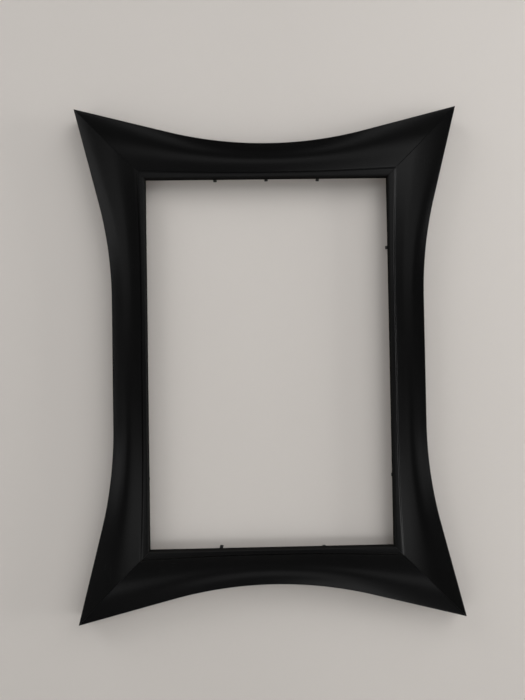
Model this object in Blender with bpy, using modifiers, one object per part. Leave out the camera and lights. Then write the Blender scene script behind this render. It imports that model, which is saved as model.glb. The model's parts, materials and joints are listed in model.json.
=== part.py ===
"""Wall-hung picture frame with four mitred scoop rails and swept corner tips.

World axes: +X to the viewer's right, +Z up, the front faces -Y.
The origin is the middle of the frame on the wall's surface.
Lengths are metres. A rail section is written in two coordinates:
t, the distance outward from the sight edge, and h, the height in front of the rail's back.
Each rail is modelled in its own frame: x runs along it, -y to the front, z outward.
"""

import math

import bmesh
import bpy
from mathutils import Matrix

MODEL_NAME = "swept_corner_picture_frame"

# What it holds, how far its tips reach past the sight opening, and clearances
INSERT_WIDTH = 0.400
INSERT_HEIGHT = 0.600
INSERT_DEPTH = 0.006
INSERT_CLEARANCE = 0.0015
SEAT_GAP = 0.0003
WALL_GAP = 0.005

# Outer edge of a rail, seen from the front
TIP_OFFSET = 0.108
MID_RAIL_WIDTH = 0.0518
FLARE_RADIUS = 0.627
ARC_STEPS = 7
MITRE_STEPS = 3
SHORT_OF_MITRE = 0.015

# Rail section
REBATE_WIDTH = 0.0095
LEDGE_HEIGHT = 0.011
LIP_HEIGHT = 0.0235
LIP_INNER_RADIUS = 0.0018
LIP_CREST_T = 0.0058
LIP_FOOT_T = 0.0098
LIP_FOOT_HEIGHT = 0.0204
FOOT_SLOPE = -0.22
FLOOR_T = 0.0255
FLOOR_HEIGHT = 0.0183
RIM_HEIGHT = 0.029
RIM_TILT = 41.0
ARRIS_RADIUS = 0.0010
BACK_ARRIS = 0.0006

# V-nails across the back of each mitre
NAIL_COUNT = 3
NAIL_FROM_SIGHT = 0.028
NAIL_FROM_TIP = 0.026
NAIL_LEG = 0.006
NAIL_SHEET = 0.0006
NAIL_DEPTH = 0.010

# Flexible framing points in the rebate wall
POINT_LENGTH = 0.015
POINT_BITE = 0.0055
POINT_WIDTH = 0.0055
POINT_SHEET = 0.0005
POINT_TAPER = 0.003
POINT_NOSE = 0.0008
TONGUE_CHAMFER = 0.0007
POINT_FROM_CORNER = 0.109

# Strap hangers with a D-shaped ring, on the backs of the side rails
HANGER_FROM_CORNER = 0.092
STRAP_WIDTH = 0.010
STRAP_SHEET = 0.0006
STRAP_END_RADIUS = 0.0035
STRAP_TAIL = 0.006
RING_WIRE = 0.002
RING_INNER_WIDTH = 0.014
RING_INNER_HEIGHT = 0.012
RING_CORNER = 0.0022
SCREW_BELOW_AXIS = 0.020
SCREW_LENGTH = 0.012
SCREW_DIAMETER = 0.0035
SCREW_TIP = 0.003
HEAD_DIAMETER = 0.0064
HEAD_HEIGHT = 0.0022
RECESS_SPAN = 0.0034
RECESS_SLOT = 0.0008
RECESS_DEPTH = 0.0012

# Bumpers at the lower ends of the side rails
BUMPER_FROM_CORNER = 0.020
BUMPER_DIAMETER = 0.012
BUMPER_FACE_DIAMETER = 0.0085
ROUND_STEPS = 24

SIGHT_WIDTH = INSERT_WIDTH + 2 * INSERT_CLEARANCE - 2 * REBATE_WIDTH
SIGHT_HEIGHT = INSERT_HEIGHT + 2 * INSERT_CLEARANCE - 2 * REBATE_WIDTH
FRAME_WIDTH = SIGHT_WIDTH + 2 * TIP_OFFSET
FLARE_RUN = FRAME_WIDTH / 2
BACK_MIDDLE = (REBATE_WIDTH + MID_RAIL_WIDTH) / 2
ARRIS_WIDTH = ARRIS_RADIUS * (1 + math.sin(math.radians(RIM_TILT)))
POINT_HEIGHT = LEDGE_HEIGHT - INSERT_DEPTH - SEAT_GAP - POINT_SHEET / 2
BEND_FROM_WALL = POINT_SHEET / 2 + SEAT_GAP
TONGUE_LENGTH = POINT_LENGTH - POINT_BITE - BEND_FROM_WALL
STRAP_THICKNESS = 2 * STRAP_SHEET
EYE_RADIUS = RING_WIRE / 2 + SEAT_GAP
KNUCKLE_RADIUS = EYE_RADIUS + STRAP_SHEET
RING_AXIS_HEIGHT = SEAT_GAP + STRAP_THICKNESS + SEAT_GAP + RING_WIRE / 2
CUT_THROUGH = 0.002
ROUND_PROFILE = 0.5
FINE_GRID = 2.0**-22

# Outline planes: a drawn outline (u, v) and the direction it is thickened in
UPRIGHT_SIDE = Matrix(((0, 0, -1, 0), (0, 1, 0, 0), (1, 0, 0, 0), (0, 0, 0, 1)))
FACING_BACK = Matrix(((1, 0, 0, 0), (0, 0, -1, 0), (0, 1, 0, 0), (0, 0, 0, 1)))
TURNED_BACKWARD = Matrix.Rotation(math.radians(-90), 4, "X")


def flare_angle():
    """Angle of a flare's straight part, which runs into an arc that ends level at the flare's end."""
    drop = TIP_OFFSET - MID_RAIL_WIDTH
    rise = 2 * FLARE_RADIUS - drop
    half_tangent = (FLARE_RUN - math.sqrt(FLARE_RUN**2 - rise * drop)) / rise
    return 2 * math.atan(half_tangent)


def rail_width(from_tip):
    """Width of a rail from its sight edge to its outer edge, at this distance from the tip."""
    angle = flare_angle()
    to_level = FLARE_RUN - from_tip
    if to_level <= 0:
        return MID_RAIL_WIDTH
    if to_level >= FLARE_RADIUS * math.sin(angle):
        return TIP_OFFSET - from_tip * math.tan(angle)
    return MID_RAIL_WIDTH + FLARE_RADIUS - math.sqrt(FLARE_RADIUS**2 - to_level**2)


def arc_points(centre, radius, start, end, steps):
    """Points on a circular arc, end points included; angles in degrees."""
    points = []
    for i in range(steps + 1):
        angle = math.radians(start + (end - start) * i / steps)
        points.append((centre[0] + radius * math.cos(angle), centre[1] + radius * math.sin(angle)))
    return points


def sweep_points(start, start_slope, end, end_slope, steps):
    """Points on a cubic curve between two points with given slopes, the first left out."""
    run = end[0] - start[0]
    points = []
    for i in range(1, steps + 1):
        u = i / steps
        a = (1 + 2 * u) * (1 - u) ** 2
        b = u * (1 - u) ** 2
        c = u * u * (3 - 2 * u)
        d = u * u * (u - 1)
        h = a * start[1] + b * run * start_slope + c * end[1] + d * run * end_slope
        points.append((start[0] + run * u, h))
    return points


def arris_profile():
    """The rounded outer edge at mid rail, from the top of the scoop to the side."""
    centre = (MID_RAIL_WIDTH - ARRIS_RADIUS, RIM_HEIGHT - ARRIS_RADIUS)
    return arc_points(centre, ARRIS_RADIUS, 90 + RIM_TILT, 0, 4)


def scoop_profile():
    """The shaped face at mid rail: inner wall, lip and scoop, up to the outer edge."""
    inner_centre = (LIP_INNER_RADIUS, LIP_HEIGHT - LIP_INNER_RADIUS)
    inner = arc_points(inner_centre, LIP_INNER_RADIUS, 180, 94, 3)
    crest = (LIP_CREST_T, LIP_HEIGHT)
    foot = (LIP_FOOT_T, LIP_FOOT_HEIGHT)
    floor = (FLOOR_T, FLOOR_HEIGHT)
    points = list(inner)
    points += sweep_points(inner[-1], math.tan(math.radians(4)), crest, 0.0, 2)
    points += sweep_points(crest, 0.0, foot, FOOT_SLOPE, 4)
    points += sweep_points(foot, FOOT_SLOPE, floor, 0.0, 4)
    points += sweep_points(floor, 0.0, arris_profile()[0], math.tan(math.radians(RIM_TILT)), 9)
    return points


def rail_section(width):
    """The whole closed section at a given rail width, from the sight edge round to it again."""
    stretch = (width - ARRIS_WIDTH) / (MID_RAIL_WIDTH - ARRIS_WIDTH)
    points = [(0.0, LEDGE_HEIGHT)]
    for t, h in scoop_profile():
        points.append((t * stretch, h))
    for t, h in arris_profile()[1:]:
        points.append((width - (MID_RAIL_WIDTH - t), h))
    points.append((width, BACK_ARRIS))
    points.append((width - BACK_ARRIS, 0.0))
    points.append((REBATE_WIDTH, 0.0))
    points.append((REBATE_WIDTH, LEDGE_HEIGHT))
    return points


def on_grid(length):
    """A length moved to a fine grid, on which sums of lengths are exact and a mitre is truly flat."""
    return round(length / FINE_GRID) * FINE_GRID


def mitre_row(sight_half):
    """The section on the mitre, as (distance along the rail from its middle, t, h)."""
    tip = sight_half + TIP_OFFSET
    seam = on_grid(sight_half - SEAT_GAP / math.sqrt(2))
    row = []
    for i, (_, h) in enumerate(rail_section(MID_RAIL_WIDTH)):
        along = sight_half
        for _ in range(60):
            t = on_grid(rail_section(rail_width(tip - along))[i][0])
            along = seam + t
        row.append((along, t, h))
    return row


def rail_stations(sight_half):
    """Cross-cuts from the level middle of a rail to its straight flare, all short of the mitre."""
    level = sight_half + TIP_OFFSET - FLARE_RUN
    turns = [flare_angle() * i / ARC_STEPS for i in range(ARC_STEPS + 1)]
    places = [level + FLARE_RADIUS * math.sin(turn) for turn in turns]
    return [place for place in places if place < sight_half - SHORT_OF_MITRE]


def rail_rows(sight_half):
    """The section at every station, from the middle of the rail to its mitre."""
    tip = sight_half + TIP_OFFSET
    stations = rail_stations(sight_half)
    rows = []
    for place in stations:
        section = rail_section(rail_width(tip - place))
        rows.append([(place, t, h) for t, h in section])
    last = mitre_row(sight_half)
    for step in range(1, MITRE_STEPS):
        row = []
        for i, (end, _, h) in enumerate(last):
            place = stations[-1] + (end - stations[-1]) * step / MITRE_STEPS
            t = rail_section(rail_width(tip - place))[i][0]
            row.append((place, t, h))
        rows.append(row)
    return rows + [last]


def rail_mesh(name, sight_half):
    """A rail as a loft of its section, the same on both sides of its middle."""
    half = rail_rows(sight_half)
    other = [[(-a, t, h) for a, t, h in row] for row in reversed(half)]
    if half[0][0][0] < SEAT_GAP:
        half[0] = [(0.0, t, h) for a, t, h in half[0]]
        other.pop()
    mesh = bmesh.new()
    grid = [[mesh.verts.new((a, -h, t)) for a, t, h in row] for row in other + half]
    count = len(grid[0])
    for near, far in zip(grid, grid[1:]):
        for i in range(count):
            j = (i + 1) % count
            mesh.faces.new((near[i], near[j], far[j], far[i]))
    mesh.faces.new(grid[0][::-1])
    mesh.faces.new(grid[-1])
    return finished_mesh(name, mesh)


def finished_mesh(name, mesh):
    """Mesh data from a bmesh, with its faces turned outward and its curves shaded smooth."""
    bmesh.ops.recalc_face_normals(mesh, faces=mesh.faces)
    data = bpy.data.meshes.new(name)
    mesh.to_mesh(data)
    mesh.free()
    data.shade_smooth()
    data.set_sharp_from_angle(angle=math.radians(30))
    return data


def outline_bmesh(loops, thickness, plane):
    """A flat outline, with any holes, thickened to both sides of its plane."""
    curve = bpy.data.curves.new("outline", "CURVE")
    curve.dimensions = "2D"
    curve.fill_mode = "BOTH"
    curve.extrude = thickness / 2
    for loop in loops:
        spline = curve.splines.new("POLY")
        spline.points.add(len(loop) - 1)
        spline.use_cyclic_u = True
        for point, (u, v) in zip(spline.points, loop):
            point.co = (u, v, 0, 1)
    holder = bpy.data.objects.new("outline", curve)
    bpy.context.scene.collection.objects.link(holder)
    graph = bpy.context.evaluated_depsgraph_get()
    flat = bpy.data.meshes.new_from_object(holder.evaluated_get(graph))
    bpy.data.objects.remove(holder)
    mesh = bmesh.new()
    mesh.from_mesh(flat)
    bmesh.ops.remove_doubles(mesh, verts=mesh.verts, dist=1e-6)
    bmesh.ops.transform(mesh, matrix=plane, verts=mesh.verts)
    bpy.data.meshes.remove(flat)
    return mesh


def round_edges(mesh, edges, radius, steps):
    """Rounds edges to a circular arc."""
    shape = {"segments": steps, "profile": ROUND_PROFILE, "affect": "EDGES"}
    bmesh.ops.bevel(mesh, geom=edges, offset=radius, **shape)


def cylinder_mesh(name, radius, depth):
    """A closed cylinder about z, centred on its origin."""
    mesh = bmesh.new()
    ends = {"radius1": radius, "radius2": radius}
    bmesh.ops.create_cone(mesh, cap_ends=True, segments=ROUND_STEPS, depth=depth, **ends)
    return finished_mesh(name, mesh)


def box_mesh(name, size):
    """A box centred on its origin."""
    mesh = bmesh.new()
    bmesh.ops.create_cube(mesh, size=1.0, matrix=Matrix.Diagonal((*size, 1)))
    return finished_mesh(name, mesh)


def material(name, colour, roughness, metallic):
    """A Principled material."""
    made = bpy.data.materials.new(name)
    made.use_nodes = True
    shader = made.node_tree.nodes["Principled BSDF"]
    shader.inputs["Base Color"].default_value = (*colour, 1)
    shader.inputs["Roughness"].default_value = roughness
    shader.inputs["Metallic"].default_value = metallic
    return made


def add_piece(name, data, finish, matrix):
    """A named sub-part in the model's collection."""
    piece = bpy.data.objects.new(name, data)
    if not data.materials:
        data.materials.append(finish)
    piece.matrix_world = matrix
    PIECES.objects.link(piece)
    return piece


def add_cutter(name, data, matrix):
    """A tool shape that is cut out of other pieces and never shown."""
    cutter = bpy.data.objects.new(name, data)
    cutter.matrix_world = matrix
    cutter.hide_render = True
    cutter.display_type = "WIRE"
    return cutter


def cut(piece, cutter):
    """Subtracts a cutter from a piece, in one step with the piece's other cutters."""
    if not piece.modifiers.get("cuts"):
        boolean = piece.modifiers.new("cuts", "BOOLEAN")
        boolean.operation = "DIFFERENCE"
        boolean.solver = "EXACT"
        boolean.operand_type = "COLLECTION"
        boolean.collection = bpy.data.collections.new(piece.name + "_cutters")
        CUTTERS.children.link(boolean.collection)
    piece.modifiers["cuts"].collection.objects.link(cutter)


def turned_piece(name, profile, finish, matrix):
    """A round piece turned about z from a profile that runs down its outer side."""
    data = bpy.data.meshes.new(name)
    edges = [(i, i + 1) for i in range(len(profile) - 1)]
    data.from_pydata([(r, 0, z) for r, z in profile], edges, [])
    piece = add_piece(name, data, finish, matrix)
    screw = piece.modifiers.new("turning", "SCREW")
    screw.axis = "Z"
    screw.steps = ROUND_STEPS
    screw.render_steps = ROUND_STEPS
    screw.use_merge_vertices = True
    screw.merge_threshold = 1e-5
    screw.use_smooth_shade = True
    return piece


def rail_frame(turn, reach):
    """From a rail's own frame to the world, by its turn about y and its sight edge's offset."""
    spin = Matrix.Rotation(math.radians(turn), 4, "Y")
    return Matrix.Translation((0, -WALL_GAP, 0)) @ spin @ Matrix.Translation((0, 0, reach))


def add_rails():
    """The four mitred rails, by side."""
    rails = {}
    for side, turn in SIDE_TURNS.items():
        half, reach = SIDE_HALVES[side]
        name = side + "_rail"
        data = rail_mesh(name, half)
        rails[side] = add_piece(name, data, BLACK_SATIN, rail_frame(turn, reach))
    return rails


def nail_places():
    """Distances of the V-nails' corners from the sight edges, evenly spaced along a mitre."""
    last = TIP_OFFSET - NAIL_FROM_TIP
    pitch = (last - NAIL_FROM_SIGHT) / (NAIL_COUNT - 1)
    return [NAIL_FROM_SIGHT + pitch * i for i in range(NAIL_COUNT)]


def v_outline(across, up, clearance):
    """Two legs in an L whose corner lies on the mitre; across and up are the corner's signs."""
    near = -clearance
    far = NAIL_LEG + clearance
    sheet = NAIL_SHEET + clearance
    corners = ((near, near), (far, near), (far, sheet), (sheet, sheet), (sheet, far), (near, far))
    return [(across * u, up * v) for u, v in corners]


def add_v_nails(rails):
    """Three V-nails at each corner, driven from the back, in slots cut in both rails."""
    slot_depth = NAIL_DEPTH + 2 * SEAT_GAP + CUT_THROUGH
    nail_y = -WALL_GAP - SEAT_GAP - NAIL_DEPTH / 2
    slot_y = -WALL_GAP + CUT_THROUGH - slot_depth / 2
    for row, up in (("top", 1), ("bottom", -1)):
        for column, across in (("left", -1), ("right", 1)):
            for number, place in enumerate(nail_places(), 1):
                x = across * (SIGHT_WIDTH / 2 + place)
                z = up * (SIGHT_HEIGHT / 2 + place)
                name = f"v_nail_{row}_{column}_{number}"
                nail = outline_bmesh([v_outline(across, up, 0)], NAIL_DEPTH, FACING_BACK)
                at_nail = Matrix.Translation((x, nail_y, z))
                add_piece(name, finished_mesh(name, nail), ZINC_STEEL, at_nail)
                slot = outline_bmesh([v_outline(across, up, SEAT_GAP)], slot_depth, FACING_BACK)
                at_slot = Matrix.Translation((x, slot_y, z))
                cutter = add_cutter(name + "_slot", finished_mesh(name, slot), at_slot)
                cut(rails[row], cutter)
                cut(rails[column], cutter)


def shank_mesh(name):
    """The driven end of a framing point; its face is flush with the rebate wall at z = 0."""
    half = POINT_WIDTH / 2
    shoulder = POINT_BITE - POINT_TAPER
    nose = POINT_NOSE / 2
    outline = [(-half, 0), (half, 0), (half, shoulder), (nose, POINT_BITE)]
    outline += [(-nose, POINT_BITE), (-half, shoulder)]
    return finished_mesh(name, outline_bmesh([outline], POINT_SHEET, FACING_BACK))


def tongue_mesh(name):
    """The free end of a framing point, rounded about its bend line, which is its origin."""
    half = POINT_SHEET / 2
    profile = [(-TONGUE_LENGTH, half), (-TONGUE_LENGTH, -half)]
    profile += arc_points((0, 0), half, -90, 90, 6)
    mesh = outline_bmesh([profile], POINT_WIDTH, UPRIGHT_SIDE)
    tip_edges = []
    for edge in mesh.edges:
        ends = [vert.co for vert in edge.verts]
        at_tip = all(abs(co.z + TONGUE_LENGTH) < 1e-6 for co in ends)
        if at_tip and abs(ends[0].x - ends[1].x) < 1e-6:
            tip_edges.append(edge)
    round_edges(mesh, tip_edges, TONGUE_CHAMFER, 2)
    return finished_mesh(name, mesh)


def add_framing_points(rails):
    """Flexible points: each has a driven shank and a tongue that bends at the rebate wall."""
    slot_length = POINT_BITE + SEAT_GAP + CUT_THROUGH
    slot_size = (POINT_WIDTH + 2 * SEAT_GAP, POINT_SHEET + 2 * SEAT_GAP, slot_length)
    slot_z = REBATE_WIDTH - CUT_THROUGH + slot_length / 2
    for side, places in POINT_PLACES.items():
        frame = rail_frame(SIDE_TURNS[side], SIDE_HALVES[side][1])
        for word, along in places.items():
            name = f"point_{side}_{word}"
            at_wall = frame @ Matrix.Translation((along, -POINT_HEIGHT, REBATE_WIDTH))
            at_bend = at_wall @ Matrix.Translation((0, 0, -BEND_FROM_WALL))
            at_slot = frame @ Matrix.Translation((along, -POINT_HEIGHT, slot_z))
            add_piece(name, shank_mesh(name), POINT_STEEL, at_wall)
            add_piece(name + "_tongue", tongue_mesh(name), POINT_STEEL, at_bend)
            cut(rails[side], add_cutter(name + "_slot", box_mesh(name, slot_size), at_slot))


def strap_mesh(name):
    """A folded strap: two layers flat on the rail and a knuckle round the ring's bar."""
    tail = -(SCREW_BELOW_AXIS + STRAP_TAIL)
    back = SEAT_GAP - RING_AXIS_HEIGHT
    top = back + STRAP_THICKNESS
    outline = [(tail, top), (tail, back), (0.0, back)]
    outline += arc_points((0, 0), KNUCKLE_RADIUS, -30, 215, 14)
    outline.append((-KNUCKLE_RADIUS, top))
    eye = arc_points((0, 0), EYE_RADIUS, 0, 337.5, 15)
    mesh = outline_bmesh([outline, eye], STRAP_WIDTH, UPRIGHT_SIDE)
    end_edges = []
    for edge in mesh.edges:
        ends = [vert.co for vert in edge.verts]
        at_tail = all(abs(co.z - tail) < 1e-6 for co in ends)
        if at_tail and abs(ends[0].x - ends[1].x) < 1e-6:
            end_edges.append(edge)
    round_edges(mesh, end_edges, STRAP_END_RADIUS, 4)
    return finished_mesh(name, mesh)


def ring_points():
    """Centre line of the D: a straight bar on the axis, round corners and a half circle below."""
    half = RING_INNER_WIDTH / 2 + RING_WIRE / 2
    drop = RING_INNER_HEIGHT + RING_WIRE
    points = arc_points((half - RING_CORNER, -RING_CORNER), RING_CORNER, 90, 0, 4)
    points += arc_points((0, half - drop), half, 0, -180, 16)
    points += arc_points((RING_CORNER - half, -RING_CORNER), RING_CORNER, 180, 90, 4)
    return points


def add_ring(name, matrix):
    """A wire ring whose origin is the middle of its bar."""
    curve = bpy.data.curves.new(name, "CURVE")
    curve.dimensions = "3D"
    curve.bevel_depth = RING_WIRE / 2
    curve.bevel_resolution = 2
    spline = curve.splines.new("POLY")
    points = ring_points()
    spline.points.add(len(points) - 1)
    spline.use_cyclic_u = True
    for point, (x, z) in zip(spline.points, points):
        point.co = (x, 0, z, 1)
    add_piece(name, curve, ZINC_STEEL, matrix)


def screw_profile():
    """Half outline of a pan-head screw; its head's underside is at z = 0."""
    head = HEAD_DIAMETER / 2
    shank = SCREW_DIAMETER / 2
    crown = arc_points((head - HEAD_HEIGHT / 2, HEAD_HEIGHT / 2), HEAD_HEIGHT / 2, 90, 0, 4)
    profile = [(0, HEAD_HEIGHT)] + crown + [(head, 0), (shank, 0)]
    profile += [(shank, SCREW_TIP - SCREW_LENGTH), (0, -SCREW_LENGTH)]
    return profile


def add_hangers(rails):
    """A strap, a swinging ring and a screw on each side rail."""
    hole_depth = SCREW_LENGTH + SEAT_GAP + CUT_THROUGH
    for side, across in (("left", -1), ("right", 1)):
        x = across * (SIGHT_WIDTH / 2 + BACK_MIDDLE)
        axis_z = SIGHT_HEIGHT / 2 - HANGER_FROM_CORNER
        at_axis = Matrix.Translation((x, RING_AXIS_HEIGHT - WALL_GAP, axis_z))
        screw_z = axis_z - SCREW_BELOW_AXIS
        head_seat = 2 * SEAT_GAP + STRAP_THICKNESS
        at_head = Matrix.Translation((x, head_seat - WALL_GAP, screw_z)) @ TURNED_BACKWARD
        name = f"hanger_{side}"
        strap = add_piece(name + "_strap", strap_mesh(name), ZINC_STEEL, at_axis)
        add_ring(name + "_ring", at_axis)
        screw = turned_piece(name + "_screw", screw_profile(), ZINC_STEEL, at_head)
        hole = cylinder_mesh(name + "_hole", SCREW_DIAMETER / 2 + SEAT_GAP, hole_depth)
        at_hole = at_head @ Matrix.Translation((0, 0, CUT_THROUGH - hole_depth / 2))
        cutter = add_cutter(name + "_hole", hole, at_hole)
        cut(strap, cutter)
        cut(rails[side], cutter)
        at_recess = at_head @ Matrix.Translation((0, 0, HEAD_HEIGHT))
        for word, size in (("flat", (RECESS_SPAN, RECESS_SLOT)), ("upright", (RECESS_SLOT, RECESS_SPAN))):
            slot = box_mesh(name, (*size, 2 * RECESS_DEPTH))
            cut(screw, add_cutter(f"{name}_recess_{word}", slot, at_recess))


def add_bumpers():
    """Round bumpers that hold the lower end of the frame off the wall."""
    thickness = WALL_GAP - SEAT_GAP
    base = BUMPER_DIAMETER / 2
    face = BUMPER_FACE_DIAMETER / 2
    fillet = base - face
    profile = [(0, thickness)] + arc_points((face, thickness - fillet), fillet, 90, 0, 4)
    profile += [(base, 0), (0, 0)]
    for side, across in (("left", -1), ("right", 1)):
        x = across * (SIGHT_WIDTH / 2 + BACK_MIDDLE)
        z = BUMPER_FROM_CORNER - SIGHT_HEIGHT / 2
        place = Matrix.Translation((x, SEAT_GAP - WALL_GAP, z)) @ TURNED_BACKWARD
        turned_piece(f"bumper_{side}", profile, RUBBER, place)


for old in list(bpy.data.objects):
    bpy.data.objects.remove(old)
PIECES = bpy.data.collections.new(MODEL_NAME)
CUTTERS = bpy.data.collections.new("cutters")

BLACK_SATIN = material("black_satin_paint", (0.010, 0.010, 0.010), 0.35, 0.0)
ZINC_STEEL = material("zinc_plated_steel", (0.62, 0.62, 0.60), 0.35, 1.0)
POINT_STEEL = material("point_steel", (0.30, 0.30, 0.30), 0.45, 1.0)
RUBBER = material("bumper_rubber", (0.05, 0.05, 0.05), 0.8, 0.0)

# Each side's turn about y, and its half length and offset measured at the sight edge
SIDE_TURNS = {"top": 0, "right": 90, "bottom": 180, "left": 270}
SIDE_HALVES = {
    "top": (SIGHT_WIDTH / 2, SIGHT_HEIGHT / 2),
    "right": (SIGHT_HEIGHT / 2, SIGHT_WIDTH / 2),
    "bottom": (SIGHT_WIDTH / 2, SIGHT_HEIGHT / 2),
    "left": (SIGHT_HEIGHT / 2, SIGHT_WIDTH / 2),
}
# A point's place along its rail, in the rail's own direction
POINT_SHORT = SIGHT_WIDTH / 2 - POINT_FROM_CORNER
POINT_LONG = SIGHT_HEIGHT / 2 - POINT_FROM_CORNER
POINT_PLACES = {
    "top": {"left": -POINT_SHORT, "middle": 0.0, "right": POINT_SHORT},
    "right": {"upper": -POINT_LONG, "lower": POINT_LONG},
    "bottom": {"left": POINT_SHORT, "right": -POINT_SHORT},
    "left": {"upper": POINT_LONG, "lower": -POINT_LONG},
}

RAILS = add_rails()
add_v_nails(RAILS)
add_framing_points(RAILS)
add_hangers(RAILS)
add_bumpers()
bpy.context.scene.collection.children.link(PIECES)
bpy.context.scene.collection.children.link(CUTTERS)
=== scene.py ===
"""Looks of a wall-hung picture frame: satin black rails, steel fittings, the wall and the light.

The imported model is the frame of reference: metres, +X to the viewer's right, +Z up, front to -Y.
A rail is made in its own frame, with x along it, -y to the front and z outward from its sight edge.
"""

import json
import math

import bmesh
import bpy
from mathutils import Euler, Matrix, Vector


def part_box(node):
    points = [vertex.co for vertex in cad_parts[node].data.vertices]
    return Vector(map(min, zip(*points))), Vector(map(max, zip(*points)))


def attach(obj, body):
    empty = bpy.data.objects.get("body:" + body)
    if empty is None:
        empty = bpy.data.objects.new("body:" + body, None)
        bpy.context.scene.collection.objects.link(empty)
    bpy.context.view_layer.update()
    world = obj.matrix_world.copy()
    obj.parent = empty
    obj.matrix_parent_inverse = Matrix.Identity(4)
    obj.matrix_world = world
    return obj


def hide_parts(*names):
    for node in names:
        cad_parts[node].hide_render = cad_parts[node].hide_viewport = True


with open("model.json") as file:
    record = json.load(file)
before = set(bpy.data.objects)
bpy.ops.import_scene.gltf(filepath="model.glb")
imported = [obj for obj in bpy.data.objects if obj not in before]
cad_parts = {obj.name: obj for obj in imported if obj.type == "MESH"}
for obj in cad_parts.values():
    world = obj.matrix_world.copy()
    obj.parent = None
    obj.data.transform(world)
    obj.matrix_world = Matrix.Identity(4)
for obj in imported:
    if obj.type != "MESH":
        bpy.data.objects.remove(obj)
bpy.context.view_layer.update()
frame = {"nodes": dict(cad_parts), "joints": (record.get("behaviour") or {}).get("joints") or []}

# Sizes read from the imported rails
TOP_LOW, TOP_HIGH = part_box("top_rail")
SIGHT_HALF_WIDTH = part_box("right_rail")[0].x
SIGHT_HALF_HEIGHT = TOP_LOW.z
BACK_Y = TOP_HIGH.y
RIM_HEIGHT = BACK_Y - TOP_LOW.y
TIP_REACH = TOP_HIGH.z - TOP_LOW.z

# Outline and section of a rail: t outward from the sight edge, h in front of the back
TIP_OFFSET = 0.108
MID_RAIL_WIDTH = 0.0518
FLARE_RADIUS = 0.627
REBATE_WIDTH = 0.0095
LEDGE_HEIGHT = 0.011
LEDGE_EASE = 0.0004
LIP_HEIGHT = 0.0235
LIP_INNER_RADIUS = 0.0018
LIP_TILT = 4.0
LIP_CREST_T = 0.0058
LIP_FOOT_T = 0.0098
LIP_FOOT_HEIGHT = 0.0204
FOOT_SLOPE = -0.22
FLOOR_T = 0.0255
FLOOR_HEIGHT = 0.0183
RIM_TILT = 41.0
ARRIS_RADIUS = 0.0010
ARRIS_WIDTH = ARRIS_RADIUS * (1 + math.sin(math.radians(RIM_TILT)))
BACK_ARRIS = 0.0006

# Points of the section: steps of its curves, and shares along its straight sides
INNER_STEPS = 7
CREST_STEPS = 5
FOOT_STEPS = 9
FLOOR_STEPS = 9
SCOOP_STEPS = 20
ARRIS_STEPS = 9
INNER_WALL_SHARE = 0.75
OUTER_SIDE_SHARES = (0.63, 0.36, 0.135)
BACK_ARRIS_SHARE = 0.3
BACK_SHARES = (0.95, 0.88, 0.78, 0.6, 0.4, 0.2, 0.08)

# Paint on the parts of the section: the edge value (worn paint on satin faces, a painted highlight
# on matt faces), bareness and dullness, each from 0 to 1
SIGHT_PAINT = (0.2, 0.0, 1.0)
ARRIS_PAINT = (1.0, 0.0, 0.0)
OUTER_SIDE_PAINT = (0.1, 0.0, 0.3)
OUTER_FOOT_PAINT = (0.5, 0.0, 0.3)
BACK_ARRIS_PAINT = (0.6, 0.0, 0.3)
BACK_EDGE_PAINT = (0.5, 0.1, 0.3)
LEDGE_EDGE_PAINT = (0.1, 0.0, 1.0)
BACK_BARE_EDGE = 0.25
BACK_BARE_RISE = 2.4
# The lip's edge value: worn paint on its satin crest, a painted highlight on its matt inner round
LIP_WEAR = 0.5
LIP_WEAR_FALL = 1.4
RIM_WEAR_WIDTH = 0.003
MATT_FROM = 0.5

# The rebate's points: shares of its width and of the ledge's height, and the paint there
REBATE_ROWS = (
    (1.0, 0.0, (0.3, 0.36, 0.0)),
    (1.0, 0.3, (0.0, 0.34, 0.0)),
    (1.0, 0.9, (0.0, 0.16, 0.5)),
    (0.93, 1.0, (0.0, 0.08, 0.5)),
    (0.4, 1.0, (0.0, 0.0, 1.0)),
)

# Mitres: half the joint's width, and how deep, wide and dull its eased edges are at each corner
SEAM_HALF = 0.00006
SEAMS = {
    "top_left": (0.00010, 0.0005, 0.7),
    "top_right": (0.00028, 0.0008, 1.0),
    "bottom_right": (0.00003, 0.0003, 0.2),
    "bottom_left": (0.00002, 0.0003, 0.1),
}
SEAM_SETTLE = 0.0014
SETTLE_ROW = 0.6

# Cross-cuts along a rail, and rounds of the search for its mitre
CORE_ROWS = 44
MITRE_ROWS = 12
SHORT_OF_MITRE = 0.012
MITRE_ROUNDS = 40

# Steel fittings
NAIL_SHEET = 0.0006
NAIL_CURL = NAIL_SHEET * 0.6
NAIL_CURL_STEPS = 6
NAIL_PROUD = 0.00004
POINT_SHEET = 0.0005
POINT_WIDTH = 0.0055
POINT_BITE = 0.0055
POINT_TAPER = 0.003
TONGUE_ROUND = 0.0009
TONGUE_ROWS = 10
ROOT_DEGREES = (80, 50, 20)
TIP_DEGREES = (30, 55, 75, 90)
RING_WIRE = 0.002
RING_CORNER = 0.0022
RING_CORNER_STEPS = 8
RING_BOW_STEPS = 48
WIRE_STEPS = 6

# Strap: a sheet folded round the ring's bar; the way in and out of the eye is given as heights
# above the bar and distances off the flat sheet, and the arc as two angles and its steps
STRAP_SHEET = 0.0006
STRAP_CORNER = 0.0035
EYE_RADIUS = 0.0013
EYE_ARC = (-55, 212, 22)
EYE_LEAD = ((-0.003, 0.0), (-0.0012, 0.00005), (0.0, 0.0003))
EYE_RETURN = ((-0.0021, 0.0002), (-0.0030, 0.0))
FOLD_SLACK = 0.93
TAIL_STEPS = (0.0, 0.0003, 0.0008, 0.0015, 0.0024, 0.0035, 0.005)

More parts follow.
